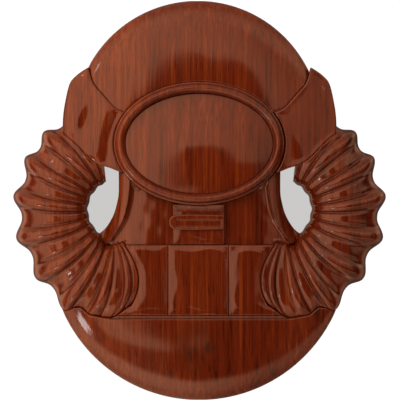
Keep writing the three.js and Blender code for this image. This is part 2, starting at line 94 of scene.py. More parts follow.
# Shapes that are fuller here than in the CAD model. The ring laps over the skirt, the neck turns up in a
# cove along its straps, the flaps have waves, and the ribs after FAN_RIB spread out
SKIRT = {"breadth": 2.6, "top": 28, "fall": 0.6}
RING = {"inset": 2.65, "breadth": 7, "lap": 1.5, "foot": 28.3, "top": 33.4, "square": 2.3, "full": 0.85}
NECK_COVE = {"rise": 2.6, "breadth": 3.4, "near_x": 53, "far_x": 58, "low_y": -38, "high_y": -34}
FLAP_MIDDLE = 66
FLAP_SLANT = 0.28
LEFT_WAVE = {"height": 0.44, "change": 0.22, "length": 4.24, "start": 15}
RIGHT_WAVE = {"height": 0.16, "length": 3.6, "start": 15, "low_y": 46, "high_y": 62, "fall": 0.018}
FAN_RIB = 7
FAN_SPREAD = 0.57

# The hose's top end: the ribs that can lie under the flap, how far below its face they stay, and how far
# in from its edge they end
COVERED_RIBS = 3
FLAP_CLEARANCE = 1.5
FLAP_COVER = 1.5

# How finely the pieces are meshed, in millimetres or as counts. ROW_RATIO is a triangle's height over its
# side, EDGE_ROWS are shares of a piece's easing, and CORNER is the least turn that stays sharp
OUTLINE_STEP = 1.0
GRID_STEP = 2.2
ROW_RATIO = 0.866
CROWDED = 0.2
FINE_OFFSET = 1.5
EDGE_ROWS = (0.1, 0.25, 0.45, 0.7, 1, 1.5)
CORNER = math.radians(27)
SNUG = 0.12
OVAL_SIDES = 320
HOSE_STEPS = 48
HOSE_ACROSS = 73
CHUNK = 500

# How a carved edge drops, as a share of its easing, and how far in from a seam the painted shade reaches
EDGE_DROP = 0.45
SEAM_SHADE = 1.2


def place(points):
    """Drawing points in millimetres, as frame points in metres."""
    points = np.asarray(points, float)
    return np.stack([points[:, 0], -points[:, 2], points[:, 1]], 1) / 1000


def smoothstep(x, low, high):
    t = np.clip((x - low) / (high - low), 0, 1)
    return t * t * (3 - 2 * t)


# Meshes
def make_carving(node, points, faces, material, groove_shade, sharp):
    """A smooth piece that stands for a carved CAD node. Its painted shade for grooves and seams is 0 to 1
    at each point.
    """
    name = node + "_carved"
    mesh = bpy.data.meshes.new(name)
    points = np.clip(place(points), *cad_box)
    mesh.from_pydata([tuple(p) for p in points], [], faces)
    mesh.shade_smooth()
    marks = mesh.attributes.new("sharp_edge", "BOOLEAN", "EDGE")
    wanted = {tuple(sorted(edge)) for edge in sharp}
    marks.data.foreach_set("value", [tuple(sorted(e.vertices)) in wanted for e in mesh.edges])
    shade = mesh.attributes.new("groove_shade", "FLOAT", "POINT")
    shade.data.foreach_set("value", groove_shade)
    mesh.materials.append(material)
    piece = bpy.data.objects.new(name, mesh)
    bpy.context.scene.collection.objects.link(piece)
    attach(piece, "plaque")
    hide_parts(node)


def base_outline(node):
    """The outline of a CAD node's flat back, anticlockwise, and the back's height."""
    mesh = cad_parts[node].data
    corners = np.array([v.co for v in mesh.vertices]) * 1000
    corners = np.round(np.stack([corners[:, 0], corners[:, 2], -corners[:, 1]], 1), 3)
    back = corners[:, 2].min()
    onward = {}
    edges = set()
    for face in mesh.polygons:
        ring = [tuple(corners[i]) for i in face.vertices]
        if all(abs(p[2] - back) < 0.01 for p in ring):
            edges.update(zip(ring, ring[1:] + ring[:1]))
    for a, b in edges:
        if (b, a) not in edges:
            onward[b] = a
    loops = []
    while onward:
        start, point = onward.popitem()
        loop = [start, point]
        while point in onward:
            point = onward.pop(point)
            loop.append(point)
        loops.append(np.array(loop[:-1])[:, :2])
    return max(loops, key=lambda loop: abs(area(loop))), back


def area(loop):
    """The area inside a loop, negative if it runs clockwise."""
    after = np.roll(loop, -1, 0)
    return 0.5 * np.sum(loop[:, 0] * after[:, 1] - loop[:, 1] * after[:, 0])


def spaced(loop, least):
    """The loop without points that crowd the point before them."""
    kept = [loop[0]]
    for point in loop[1:]:
        if np.hypot(*(point - kept[-1])) > least:
            kept.append(point)
    return np.array(kept)


def grown(loop, distance):
    """An anticlockwise loop moved outwards."""
    before, after = loop - np.roll(loop, 1, 0), np.roll(loop, -1, 0) - loop
    a = np.stack([before[:, 1], -before[:, 0]], 1) / np.hypot(*before.T)[:, None]
    b = np.stack([after[:, 1], -after[:, 0]], 1) / np.hypot(*after.T)[:, None]
    normal = (a + b) / np.hypot(*(a + b).T)[:, None]
    return loop + normal * distance / np.maximum(0.5, np.sum(normal * a, 1))[:, None]


def refine(loop):
    """A closed curve through the loop's points, with its corners kept sharp."""
    loop = grown(spaced(loop if area(loop) > 0 else loop[::-1], CROWDED), SNUG)
    before, after = np.roll(loop, 1, 0), np.roll(loop, -1, 0)
    inward, outward = loop - before, after - loop
    length_in, length_out = np.hypot(*inward.T), np.hypot(*outward.T)
    turn = np.arctan2(
        inward[:, 0] * outward[:, 1] - inward[:, 1] * outward[:, 0],
        np.sum(inward * outward, 1),
    )
    corner = np.abs(turn) > CORNER
    way_in, way_out = inward / length_in[:, None], outward / length_out[:, None]
    weight = (length_out / (length_in + length_out))[:, None]
    tangent = way_in * weight + way_out * (1 - weight)
    points = []
    for i in range(len(loop)):
        j = (i + 1) % len(loop)
        length = length_out[i]
        t = np.arange(max(1, round(length / OUTLINE_STEP)))[:, None]
        t = t / len(t)
        leave = way_out[i] if corner[i] else tangent[i]
        arrive = way_out[i] if corner[j] else tangent[j]
        points.append(
            (2 * t**3 - 3 * t**2 + 1) * loop[i]
            + (t**3 - 2 * t**2 + t) * length * leave
            + (3 * t**2 - 2 * t**3) * loop[j]
            + (t**3 - t**2) * length * arrive
        )
    return np.concatenate(points)


def depth_inside(points, outline):
    """How far each point is from the outline, negative outside it."""
    a, b = outline, np.roll(outline, -1, 0)
    side = b - a
    size = np.sum(side**2, 1)
    found = []
    for chunk in np.array_split(points, len(points) // CHUNK + 1):
        offset = chunk[:, None] - a[None]
        t = np.clip(np.sum(offset * side, 2) / size, 0, 1)
        gap = offset - t[..., None] * side
        distance = np.sqrt(np.sum(gap**2, 2).min(1))
        above = (a[:, 1] > chunk[:, 1:2]) != (b[:, 1] > chunk[:, 1:2])
        rise = np.where(side[:, 1] == 0, 1e-12, side[:, 1])
        cross = a[:, 0] + (chunk[:, 1:2] - a[:, 1]) * side[:, 0] / rise
        inside = np.sum(above & (chunk[:, :1] < cross), 1) % 2 == 1
        found.append(np.where(inside, distance, -distance))
    return np.concatenate(found)


def inner_points(outline, offsets, step):
    """Rows of points just inside the outline, then an even grid over the rest. The rows are as fine as
    the outline near it, and half as fine from FINE_OFFSET inwards."""
    ahead, behind = np.roll(outline, -1, 0), np.roll(outline, 1, 0)
    along = ahead - behind
    along /= np.hypot(*along.T)[:, None]
    inward = np.stack([-along[:, 1], along[:, 0]], 1)
    rows = []
    for offset in offsets:
        stride = 1 if offset < FINE_OFFSET else 2
        row = (outline + inward * offset)[::stride]
        rows.append(row[depth_inside(row, outline) > offset * 0.93])
    low, high = outline.min(0), outline.max(0)
    xs = np.arange(low[0], high[0], step)
    ys = np.arange(low[1], high[1], step * ROW_RATIO)
    grid = np.array([(x + (k % 2) * step / 2, y) for k, y in enumerate(ys) for x in xs])
    rows.append(grid[depth_inside(grid, outline) > offsets[-1] + 0.5 * step])
    return np.concatenate(rows)


def relief(name, height, material, ease, step=GRID_STEP):
    """A carved piece over a CAD node's back: height(x, y, depth) in front, with its edges eased over a
    breadth. step is how far apart its inner points are."""
    loop, back = base_outline(name)
    outline = refine(loop)
    offsets = [share * ease for share in EDGE_ROWS]
    flat = np.concatenate([outline, inner_points(outline, offsets, step)])
    count = len(outline)
    ring = [(i, (i + 1) % count) for i in range(count)]
    found = delaunay_2d_cdt([Vector(p) for p in flat], ring, [], 1, 1e-5)
    flat = np.array(found[0])
    triangles = [tuple(face) for face in found[2]]
    depth = np.maximum(depth_inside(flat, outline), 0)
    depth[:count] = 0
    drop = EDGE_DROP * np.clip(ease - depth, 0, ease) ** 2 / ease
    top = np.maximum(height(flat[:, 0], flat[:, 1], depth) - drop, back + 0.1)
    total = len(flat)
    points = np.concatenate([
        np.column_stack([flat, top]),
        np.column_stack([flat[:count], np.full(count, back)]),
    ])
    foot = list(range(total, total + count))
    walls = [(a, total + a, total + b, b) for a, b in ring]
    faces = triangles + walls + [tuple(reversed(foot))]
    # Painted shade: darker near the piece's edges and seams, and full on its walls
    groove_shade = np.concatenate([1 - smoothstep(depth, 0, SEAM_SHADE), np.ones(count)])
    sharp = [(foot[a], foot[b]) for a, b in ring]
    make_carving(name, points, faces, material, groove_shade, sharp)


def oval_band(name, profile, material):
    """A closed moulding round the mask; the profile is a list of (inset from the mask's edge, height)."""
    profile = np.array(profile)
    rows = len(profile)
    angle = np.arange(OVAL_SIDES) * 2 * math.pi / OVAL_SIDES
    inset = profile[:, 0][None]
    x = MASK["x"] + (MASK["width"] - inset) * np.cos(angle)[:, None]
    y = MASK["y"] + (MASK["height"] - inset) * np.sin(angle)[:, None]
    z = np.broadcast_to(profile[:, 1], x.shape)
    points = np.stack([x.ravel(), y.ravel(), z.ravel()], 1)
    faces = []
    sharp = []
    for i in range(OVAL_SIDES):
        j = (i + 1) % OVAL_SIDES
        for k in range(rows):
            m = (k + 1) % rows
            faces.append((i * rows + k, i * rows + m, j * rows + m, j * rows + k))
        sharp.append((i * rows, j * rows))
        sharp.append((i * rows + rows - 1, j * rows + rows - 1))
    top = profile[:, 1].max()
    # Painted shade, darker lower down the moulding's profile, in its hollows
    groove_shade = np.tile(0.3 * smoothstep(top - profile[:, 1], 3, 6), OVAL_SIDES)
    make_carving(name, points, faces, material, groove_shade, sharp)


def mask_ring(material):
    """A full, rounded moulding that laps over the skirt."""
    inner = RING["inset"] + RING["breadth"]
    profile = [(inner, SEAT), (RING["inset"], SEAT), (RING["inset"], RING["foot"])]
    for a in np.linspace(0, math.pi, 33):
        bulge = (1 - abs(math.cos(a)) ** RING["square"]) ** RING["full"]
        inset = inner - (RING["breadth"] + RING["lap"]) * (1 + math.cos(a)) / 2
        profile.append((inset, RING["foot"] + (RING["top"] - RING["foot"]) * bulge))
    oval_band("mask_ring", profile, material)


def mask_skirt(material):
    """A thin lip with a quarter round on its outer edge."""
    profile = [(SKIRT["breadth"], SEAT), (0, SEAT)]
    for a in np.linspace(0, math.pi / 2, 9):
        inset = SKIRT["breadth"] * (1 - math.cos(a))
        profile.append((inset, SKIRT["top"] - SKIRT["fall"] * (1 - math.sin(a))))
    oval_band("mask_skirt", profile, material)


# Heights of the carved faces
def waver(x, y, amount=0.04):
    """The slow waver that a hand-carved and sanded face has."""
    return amount * (
        np.sin(x / 7.3 + y / 17 + 0.6)
        + np.sin(y / 8.9 - x / 21 + 2.1)
        + 0.7 * np.sin((x + y) / 12.7 + 4)
        + 0.6 * np.sin((x - 1.4 * y) / 15.1 + 1.2)
    )


def pillow(shape):
    """A domed piece, nearly flat in the middle, that rolls over to its rim."""
    def height(x, y, depth):
        out = np.hypot(x - shape["x"], y - shape["y"]) / shape["radius"]
        lift = np.sqrt(np.maximum(1 - np.minimum(out, 1) ** PILLOW_POWER, 0))
        return shape["rim"] + (shape["crown"] - shape["rim"]) * lift + waver(x, y)
    return height


def flap_height(x, y, depth):
    """A flap falls away from the mask in slow, hand-carved waves."""
    along = np.abs(x) - FLAP_MIDDLE + FLAP_SLANT * (y - FLAP_MIDDLE)
    left = LEFT_WAVE["height"] + LEFT_WAVE["change"] * np.sin(y / 7 + 4)
    left = left * np.sin((along - LEFT_WAVE["start"]) / LEFT_WAVE["length"])
    right = RIGHT_WAVE["height"] * (1 - smoothstep(y, RIGHT_WAVE["low_y"], RIGHT_WAVE["high_y"]))
    right = right * np.sin((along - RIGHT_WAVE["start"]) / RIGHT_WAVE["length"])
    right = right - RIGHT_WAVE["fall"] * (x - FLAP_MIDDLE)
    wave = np.where(x < 0, left, right) * smoothstep(depth, 0.5, 5)
    return pillow(FLAP)(x, y, depth) + wave


def slab(top, swell, reach):
    """A flat piece that swells slightly away from its edges, by an uneven width."""
    def height(x, y, depth):
        wide = reach * (1 + 0.3 * np.sin(x / 5.1 + y / 9.7 + 1) + 0.2 * np.sin(y / 4.7 - x / 8 + 2))
        return top - swell * (1 - smoothstep(depth / wide, 0, 1)) + waver(x, y, 0.03)
    return height


def neck_height(x, y, depth):
    """The neck's face turns back towards its two sides, up in a cove at its straps, with shallow marks of
    the gouge."""
    out = np.maximum(np.abs(x) - NECK["flat"], 0)
    gouge = 0.05 * np.sin(x / 2.7 + y / 11) * np.sin(y / 4.3 - x / 9 + 1)
    cove = NECK_COVE["rise"] * smoothstep(np.abs(x), NECK_COVE["near_x"], NECK_COVE["far_x"])
    cove = cove * smoothstep(y, NECK_COVE["low_y"], NECK_COVE["high_y"])
    cove = cove * (1 - smoothstep(depth, 0, NECK_COVE["breadth"]))
    return NECK["top"] - NECK["fall"] * out**2 + gouge + cove + waver(x, y, 0.04)


def strap_height(x, y, depth):
    """A neck strap is rounded over at its outer side and nearly flat at its inner side."""
    edge = NECK_STRAP["edge"] + NECK_STRAP["flare"] * (y - NECK_STRAP["waist"]) ** 2
    across = np.abs(x) - edge
    rounding = NECK_STRAP["roll"] * np.maximum(across, 0) ** 2
    return NECK_STRAP["top"] - NECK_STRAP["slope"] * across - rounding + waver(x, y, 0.03)


def tab_height(x, y, depth):
    """The tab is flat, with a sunk slot."""
    across = np.minimum(x - TAB_SLOT["left"], TAB_SLOT["right"] - x)
    inside = np.minimum(across, np.minimum(y - TAB_SLOT["bottom"], TAB_SLOT["upper"] - y))
    return TAB_TOP - TAB_SLOT["depth"] * smoothstep(inside, -0.3, 0.7) + waver(x, y, 0.05)


def lens_height(x, y, depth):
    """The lens is a shallow dome whose top leans back."""
    across = (x - MASK["x"]) / (MASK["width"] - LENS["inset"])
    up = (y - MASK["y"]) / (MASK["height"] - LENS["inset"])
    dome = (LENS["crown"] - LENS["rim"]) * (1 - across**2 - up**2)
    return LENS["rim"] + dome - LENS["lean"] * (y - MASK["y"]) + waver(x, y, 0.025)


# The hose: from its top end (t = 0) to its lower end (t = LAST_RIB), and from its inner edge (u = 0) to
# its outer edge (u = 1)
def along_ribs(column, t):
    """A column of the table of ribs, read between its rows."""
    return np.interp(t, range(len(RIBS)), [rib[column] for rib in RIBS])


def hose_plan(u, t):
    """x and y of the left hose at u and t."""
    angle = np.radians(
        along_ribs(1, t) * (1 - u) + along_ribs(0, t) * u + 4 * along_ribs(2, t) * u * (1 - u)
    )
    index = np.minimum(np.floor(t), LAST_RIB - 1)
    pitch = (along_ribs(0, index + 1) - along_ribs(0, index)) / HOSE["pitch"]
    crest = np.abs(np.cos(math.pi * t)) ** 2.5
    lapping = smoothstep(t, LAP_RIB + 0.4, LAP_RIB + 1.2)
    ending = smoothstep(t, LAST_RIB - 2, LAST_RIB)
    shrink = HOSE["scallop"] * np.sqrt(pitch) * (1 - crest) * (1 - lapping)
    shrink = shrink + HOSE["taper"] * ending - along_ribs(3, t)
    a, b = HOSE["outer_x"] - shrink, HOSE["outer_y"] - shrink
    outer = a * b / np.hypot(b * np.cos(angle), a * np.sin(angle))
    turn = (along_ribs(1, t) - 180) / 80
    behind_neck = smoothstep(along_ribs(1, t), 243, 268)
    inner = HOSE["inner"] + crest + 4 * turn**2 * (1 - behind_neck) + HOSE["inner_neck"] * behind_neck
    radius = inner * (1 - u) + outer * u
    return HOSE["x"] + radius * np.cos(angle), HOSE["y"] + radius * np.sin(angle)


def hose_height(u, t):
    """The hose's height in front at u and t, and how deep in a crease it is, from 0 to 1, which the wood
    shows as painted shade.
    """
    lapping = np.where(
        u > 0.5, smoothstep(t, LAP_RIB - 0.6, LAP_RIB + 0.2), smoothstep(t, LAP_RIB + 0.3, LAP_RIB + 1.3)
    )
    wall = HOSE["wall"] + (HOSE["lap_wall"] - HOSE["wall"]) * lapping
    arch = np.sqrt(np.maximum(0, 1 - np.abs(2 * u - 1) ** 2.2))
    spread = np.minimum(t, FAN_RIB) + FAN_SPREAD * np.maximum(t - FAN_RIB, 0)
    offset = np.abs(spread - np.round(spread))
    rib = np.maximum(0, np.cos(math.pi * offset / (2 * HOSE["crease_at"]))) ** 0.8
    crease = np.exp(-(((offset - HOSE["crease_at"]) / HOSE["crease_width"]) ** 2))
    crease = crease * (1 - 0.45 * smoothstep(t, FAN_RIB - 0.5, FAN_RIB + 0.5))
    relief_height = HOSE["rib"] * rib - HOSE["crease"] * crease
    height = wall + (HOSE["crown"] - wall) * arch + relief_height * np.minimum(1, 1.5 * arch)
    short = np.clip(HOSE["end_ease"] - 7 * (LAST_RIB - t), 0, HOSE["end_ease"])
    height -= HOSE["end_ease"] - np.sqrt(HOSE["end_ease"] ** 2 - short**2)
    return height, crease * np.minimum(1, 2 * arch)


def hose_surface():
    """The left hose's grid of points: x and y, its height in front and behind, and its painted shade in
    creases and towards its inner edge. Its top end goes under the flap."""
    t_line = np.linspace(0, LAST_RIB, HOSE_STEPS * LAST_RIB + 1)
    u_line = (1 - np.cos(np.linspace(0, math.pi, HOSE_ACROSS))) / 2
    t, u = [grid.ravel() for grid in np.meshgrid(t_line, u_line, indexing="ij")]
    x, y = hose_plan(u, t)
    top, crease = hose_height(u, t)
    over_board = (np.hypot(x - BODY["x"], y - BODY["y"]) < BOARD_RADIUS) & (y < BOARD_SHOULDER)
    base = np.where(over_board, SEAT, HOSE["base"])
    under_flap = np.zeros(len(t))
    near = t < COVERED_RIBS
    flap_outline = refine(base_outline("flap_left")[0])
    under_flap[near] = depth_inside(np.column_stack([x, y])[near], flap_outline)
    flap_face = pillow(FLAP)(x, y, 0)
    top = np.where(under_flap > 0.1, np.minimum(top, flap_face - FLAP_CLEARANCE), top)
    top = np.where(under_flap > FLAP_COVER, base, top)
    top = np.maximum(top, base + 0.1)
    # Painted shade towards the hose's inner edge, where it curves down by the hole
    inner_edge_shade = 0.9 * (1 - smoothstep(u, 0, 0.17)) * (1 - smoothstep(t, LAP_RIB, LAP_RIB + 1))
    return x, y, top, base, np.maximum(crease, inner_edge_shade)


def hose(side, material):
    """A ribbed hose; side is -1 for the left one and 1 for the right one."""
    x, y, top, base, groove_shade = hose_surface()
    x = -side * x
    rows, columns = HOSE_STEPS * LAST_RIB + 1, HOSE_ACROSS
    count = rows * columns
    points = np.concatenate([np.column_stack([x, y, top]), np.column_stack([x, y, base])])
    faces = []
    for r in range(rows - 1):
        for c in range(columns - 1):
            quad = [r * columns + c, (r + 1) * columns + c, (r + 1) * columns + c + 1, r * columns + c + 1]
            faces.append(quad)
            faces.append([count + i for i in reversed(quad)])
    rim = [r * columns for r in range(rows)]
    rim += [(rows - 1) * columns + c for c in range(1, columns)]
    rim += [r * columns + columns - 1 for r in range(rows - 2, -1, -1)]
    rim += [c for c in range(columns - 2, 0, -1)]
    sharp = []
    for a, b in zip(rim, rim[1:] + rim[:1]):
        faces.append([b, a, count + a, count + b])
        sharp.append((count + a, count + b))
        sharp.append((a, b))
    if side > 0:
        faces = [list(reversed(face)) for face in faces]
    groove_shade = np.concatenate([groove_shade, np.ones(count)])
    name = "hose_left" if side < 0 else "hose_right"
    make_carving(name, points, faces, material, groove_shade, sharp)


# Materials
class Nodes:
    """A material's or world's node tree, built one node at a time."""

    def __init__(self, owner):
        owner.use_nodes = True
        self.tree = owner.node_tree
        self.tree.nodes.clear()

    def add(self, kind, inputs=(), **settings):
        node = self.tree.nodes.new("ShaderNode" + kind)
        for key, value in settings.items():
            setattr(node, key, value)
        for key, value in dict(inputs).items():
            self.set(node.inputs[key], value)
        return node

    def set(self, socket, value):
        if isinstance(value, bpy.types.Node):
            value = value.outputs[0]
        if isinstance(value, bpy.types.NodeSocket):
            self.tree.links.new(value, socket)
        else:
            socket.default_value = value

    def math(self, operation, a, b=0.0):
        return self.add("Math", {0: a, 1: b}, operation=operation)

    def noise(self, vector, scale, detail=2.0, roughness=0.5):
        inputs = {"Vector": vector, "Scale": scale, "Detail": detail, "Roughness": roughness}
        return self.add("TexNoise", inputs).outputs["Fac"]

    def stretched(self, vector, scale, move=(0, 0, 0)):
        return self.add("Mapping", {"Vector": vector, "Scale": scale, "Location": move})

    def between(self, value, low, high, out_low=0.0, out_high=1.0):
        """value from low to high, as out_low to out_high with soft ends."""
        inputs = {"Value": value, "From Min": low, "From Max": high, "To Min": out_low, "To Max": out_high}
        return self.add("MapRange", inputs, interpolation_type="SMOOTHSTEP")

    def inside(self, value, low, high, soft):
        """1 where value is from low to high, with soft ends."""
        rising = self.between(value, low - soft, low + soft)
        return self.math("MULTIPLY", rising, self.between(value, high + soft, high - soft))

    def product(self, first, *others):
        for other in others:
            first = self.math("MULTIPLY", first, other)
        return first

    def largest(self, first, *others):
        for other in others:
            first = self.math("MAXIMUM", first, other)
        return first

    def opposite(self, value):
        return self.math("SUBTRACT", 1, value)

    def oval(self, a, b, centre, radii):
        """0 in the middle of an oval in a and b, and 1 at its edge."""
        parts = []
        for value, middle, radius in zip((a, b), centre, radii):
            share = self.math("DIVIDE", self.math("SUBTRACT", value, middle), radius)
            parts.append(self.math("POWER", share, 2))
        return self.math("ADD", *parts)

    def mix(self, factor, a, b):
        """Colour a where the factor is 0, and b where it is 1."""
        node = self.add("Mix", {0: factor}, data_type="RGBA", blend_type="MIX", clamp_factor=True)
        self.set(node.inputs[6], a)
        self.set(node.inputs[7], b)
        return node.outputs[2]

    def ramp(self, value, stops):
        node = self.add("ValToRGB", {"Fac": value})
        ramp = node.color_ramp
        ramp.interpolation = "EASE"
        while len(ramp.elements) < len(stops):
            ramp.elements.new(0.5)
        for element, (position, colour) in zip(ramp.elements, stops):
            element.position = position
            element.color = (*colour, 1)
        return node.outputs["Color"]


# The dark mineral streaks on the lower body, in metres in the frame: the middle of each (x, z), its half
# width and half height, and its strength
MINERAL_STREAKS = [
    ((-0.004, -0.131), (0.018, 0.03), 0.45),
    ((-0.008, -0.137), (0.007, 0.009), 0.7),
    ((0.009, -0.132), (0.006, 0.006), 0.9),
]
MINERAL_COLOUR = (0.03, 0.012, 0.006, 1)


def mineral_streaks(n, colour, axes, figure, fibre):
    """The colour with dark mineral streaks, which follow the grain."""
    in_grain = n.product(n.between(figure, 0.38, 0.54), n.between(fibre, 0.36, 0.54))
    for middle, radii, strength in MINERAL_STREAKS:
        patch = n.between(n.oval(axes.outputs[0], axes.outputs[2], middle, radii), 1.2, 0.1)
        colour = n.mix(n.product(patch, in_grain, strength), colour, MINERAL_COLOUR)
    return colour


def varnished_wood(name, dark, middle, light, coat=1.0, streaked=False):
    """Mahogany with upright grain under varnish, with painted shade in its grooves and seams, and painted
    light that makes it lighter on the left and darker on the right.
    """
    material = bpy.data.materials.new(name)
    n = Nodes(material)
    place_here = n.add("TexCoord").outputs["Object"]
    wander = n.add("TexNoise", {"Vector": n.stretched(place_here, (1, 1, 0.25)), "Scale": 14, "Detail": 2})
    bend = n.add("VectorMath", {0: wander.outputs["Color"], 1: (0.5, 0.5, 0.5)}, operation="SUBTRACT")
    bend = n.add("VectorMath", {0: bend, "Scale": 0.006}, operation="SCALE")
    grain_place = n.add("VectorMath", {0: place_here, 1: bend}, operation="ADD")
    bands = n.noise(n.stretched(grain_place, (1, 0.6, 0.045)), scale=34, detail=2, roughness=0.5)
    figure = n.noise(n.stretched(grain_place, (1, 1, 0.022)), scale=300, detail=4, roughness=0.6)
    fibre = n.noise(n.stretched(grain_place, (1, 1, 0.018), (3, 1, 2)), scale=900, detail=2, roughness=0.5)
    pores = n.noise(n.stretched(grain_place, (1, 1, 0.05), (7, 5, 1)), scale=1150, detail=1, roughness=0.5)
    axes = n.add("SeparateXYZ", {0: grain_place})

    # Painted light from the left: the wood's tone is lighter on the left and darker on the right
    painted_side_light = n.between(axes.outputs[0], -0.06, 0.04, 0.045, -0.03)
    tone = n.math("ADD", n.math("MULTIPLY", bands, 0.28), n.math("MULTIPLY", figure, 0.46))
    tone = n.math("ADD", n.math("ADD", tone, n.math("MULTIPLY", fibre, 0.26)), painted_side_light)
    colour = n.ramp(tone, [(0.36, dark), (0.5, middle), (0.64, light)])
    pore = n.between(pores, 0.6, 0.7)
    colour = n.mix(n.math("MULTIPLY", pore, 0.55), colour, (*[c * 0.3 for c in dark], 1))
    # Painted shade: the wood is darker where the carving marks grooves, seams and hollows
    groove_shade = n.add("Attribute", attribute_name="groove_shade").outputs["Fac"]
    colour = n.mix(n.math("MULTIPLY", groove_shade, 0.38), colour, (*[c * 0.6 for c in dark], 1))
    if streaked:
        colour = mineral_streaks(n, colour, axes, figure, fibre)

    rough = n.between(figure, 0.3, 0.7, 0.24, 0.34)
    relief_here = n.math("ADD", fibre, n.math("MULTIPLY", pore, -0.8))
    bump = n.add("Bump", {"Height": relief_here, "Distance": 0.00006, "Strength": 0.5})
    ripple = n.add("Bump", {"Height": figure, "Distance": 0.00003})
    shader = n.add("BsdfPrincipled", {
        "Base Color": colour, "Roughness": rough, "Normal": bump, "Specular IOR Level": 0.12,
        "Specular Tint": (1, 0.34, 0.14, 1), "Coat Weight": coat, "Coat Roughness": 0.065,
        "Coat IOR": 1.5, "Coat Normal": ripple,
    })
    n.add("OutputMaterial", {"Surface": shader})
    return material


def beech_wood(name):
    """Pale dowel wood, unvarnished."""
    material = bpy.data.materials.new(name)
    n = Nodes(material)
    place_here = n.add("TexCoord").outputs["Object"]
    grain = n.noise(n.stretched(place_here, (1, 0.1, 1)), scale=900, detail=4, roughness=0.6)
    flecks = n.noise(n.stretched(place_here, (1, 0.2, 1), (2, 2, 2)), scale=2200, detail=1, roughness=0.5)
    colour = n.ramp(grain, [(0.3, (0.42, 0.25, 0.12)), (0.5, (0.56, 0.37, 0.2)), (0.7, (0.66, 0.47, 0.28))])
    colour = n.mix(n.math("MULTIPLY", n.between(flecks, 0.6, 0.7), 0.5), colour, (0.3, 0.16, 0.07, 1))
    bump = n.add("Bump", {"Height": grain, "Distance": 0.00008, "Strength": 0.5})
    rough = n.between(grain, 0.3, 0.7, 0.62, 0.8)
    shader = n.add("BsdfPrincipled", {"Base Color": colour, "Roughness": rough, "Normal": bump})
    n.add("OutputMaterial", {"Surface": shader})
    return material


def plated_steel(name, tint=(1, 0.97, 0.9)):
    """Zinc-plated steel with fine handling scratches and a faint cloudiness."""
    material = bpy.data.materials.new(name)
    n = Nodes(material)
    place_here = n.add("TexCoord").outputs["Object"]
    cloud = n.noise(place_here, scale=260, detail=3, roughness=0.6)
    scratch = n.noise(n.stretched(place_here, (1, 1, 0.06)), scale=2600, detail=2, roughness=0.6)
    stops = [(0.3, 0.42), (0.5, 0.55), (0.7, 0.64)]
    colour = n.ramp(cloud, [(stop, [grey * part for part in tint]) for stop, grey in stops])
    rough = n.math("ADD", n.between(cloud, 0.3, 0.7, 0.24, 0.38), n.between(scratch, 0.45, 0.7, 0, 0.12))
    bump = n.add("Bump", {"Height": scratch, "Distance": 0.00002, "Strength": 0.4})
    inputs = {"Base Color": colour, "Roughness": rough, "Normal": bump, "Metallic": 1.0}
    shader = n.add("BsdfPrincipled", inputs)
    n.add("OutputMaterial", {"Surface": shader})
    return material


def pale_floor(name):
    """A matt floor with slow, faint clouds."""
    material = bpy.data.materials.new(name)
    n = Nodes(material)
    place_here = n.add("TexCoord").outputs["Object"]
    cloud = n.noise(place_here, scale=9, detail=4, roughness=0.6)
    colour = n.ramp(cloud, [(0.3, (0.76, 0.82, 0.88)), (0.7, (0.79, 0.85, 0.91))])
    shader = n.add("BsdfPrincipled", {"Base Color": colour, "Roughness": 0.8})
    n.add("OutputMaterial", {"Surface": shader})
    return material


# The studio. Distances are in metres
CAMERA_PLACE = (0.0004, -2.505, 0)
CAMERA_LENS = 250
SENSOR_WIDTH = 36
VIEW_END = 50
FLOOR_SIZE = 7
FLOOR_PLACE = (0, 0, -1.45)
LIGHT_COLOUR = (1, 0.92, 0.86)
ROOM_COLOUR = (1.0, 0.84, 0.72, 1)
MIRRORED_ROOM_COLOUR = (2.0, 1.06, 0.64, 1)
DARKEST_LEVEL = 0.03
WHITE = (1, 1, 1, 1)
# The grey of a painted shadow behind the holes
SHADOW_GREY_BEHIND = (0.57, 0.56, 0.55, 1)
BACKDROP_LEVEL = 1.05


def make_camera():
    """A long lens straight in front of the plaque."""
    data = bpy.data.cameras.new("camera")
    data.lens = CAMERA_LENS
    data.sensor_width = SENSOR_WIDTH
    data.clip_end = VIEW_END
    camera = bpy.data.objects.new("camera", data)
    camera.location = CAMERA_PLACE
    camera.rotation_euler = (math.pi / 2, 0, 0)
    bpy.context.scene.collection.objects.link(camera)
    bpy.context.scene.camera = camera


def soft_light(name, azimuth, elevation, distance, size, watts, roll=0, mirrored=True):
    """A softbox seen from the plaque at an azimuth (right of the camera) and elevation, in degrees. Its
    own reflection shows only if it is mirrored."""
    data = bpy.data.lights.new(name, "AREA")
    data.shape = "RECTANGLE"
    data.size, data.size_y = size
    data.energy = watts
    data.color = LIGHT_COLOUR
    light = bpy.data.objects.new(name, data)
    a, e = math.radians(azimuth), math.radians(elevation)
    way = Vector((math.sin(a) * math.cos(e), -math.cos(a) * math.cos(e), math.sin(e)))
    light.location = way * distance
    turn = Quaternion((0, 0, 1), math.radians(roll))
    light.rotation_euler = ((-way).to_track_quat("-Z", "Y") @ turn).to_euler()
    light.visible_camera = False
    light.visible_glossy = mirrored
    bpy.context.scene.collection.objects.link(light)


def room_level(n, x, y, z):
    """How bright the room is in a direction: dimmer to the right, overhead and behind the plaque. x is to
    the right, y is away from the camera, and z is up."""
    level = n.largest(n.between(x, -0.15, 0.24, 1.15, 0.45), n.between(z, 0.1, 0.35, 0, 0.9))
    overhead = n.between(z, 0.4, 0.75, 1, 0.5)
    below = n.product(n.between(z, -0.27, -0.33, 1, 1.1), n.between(z, -0.4, -0.75, 1, 0.62))
    behind = n.between(y, 0.75, 0.35, 0.2, 1.0)
    return n.product(level, overhead, below, behind)


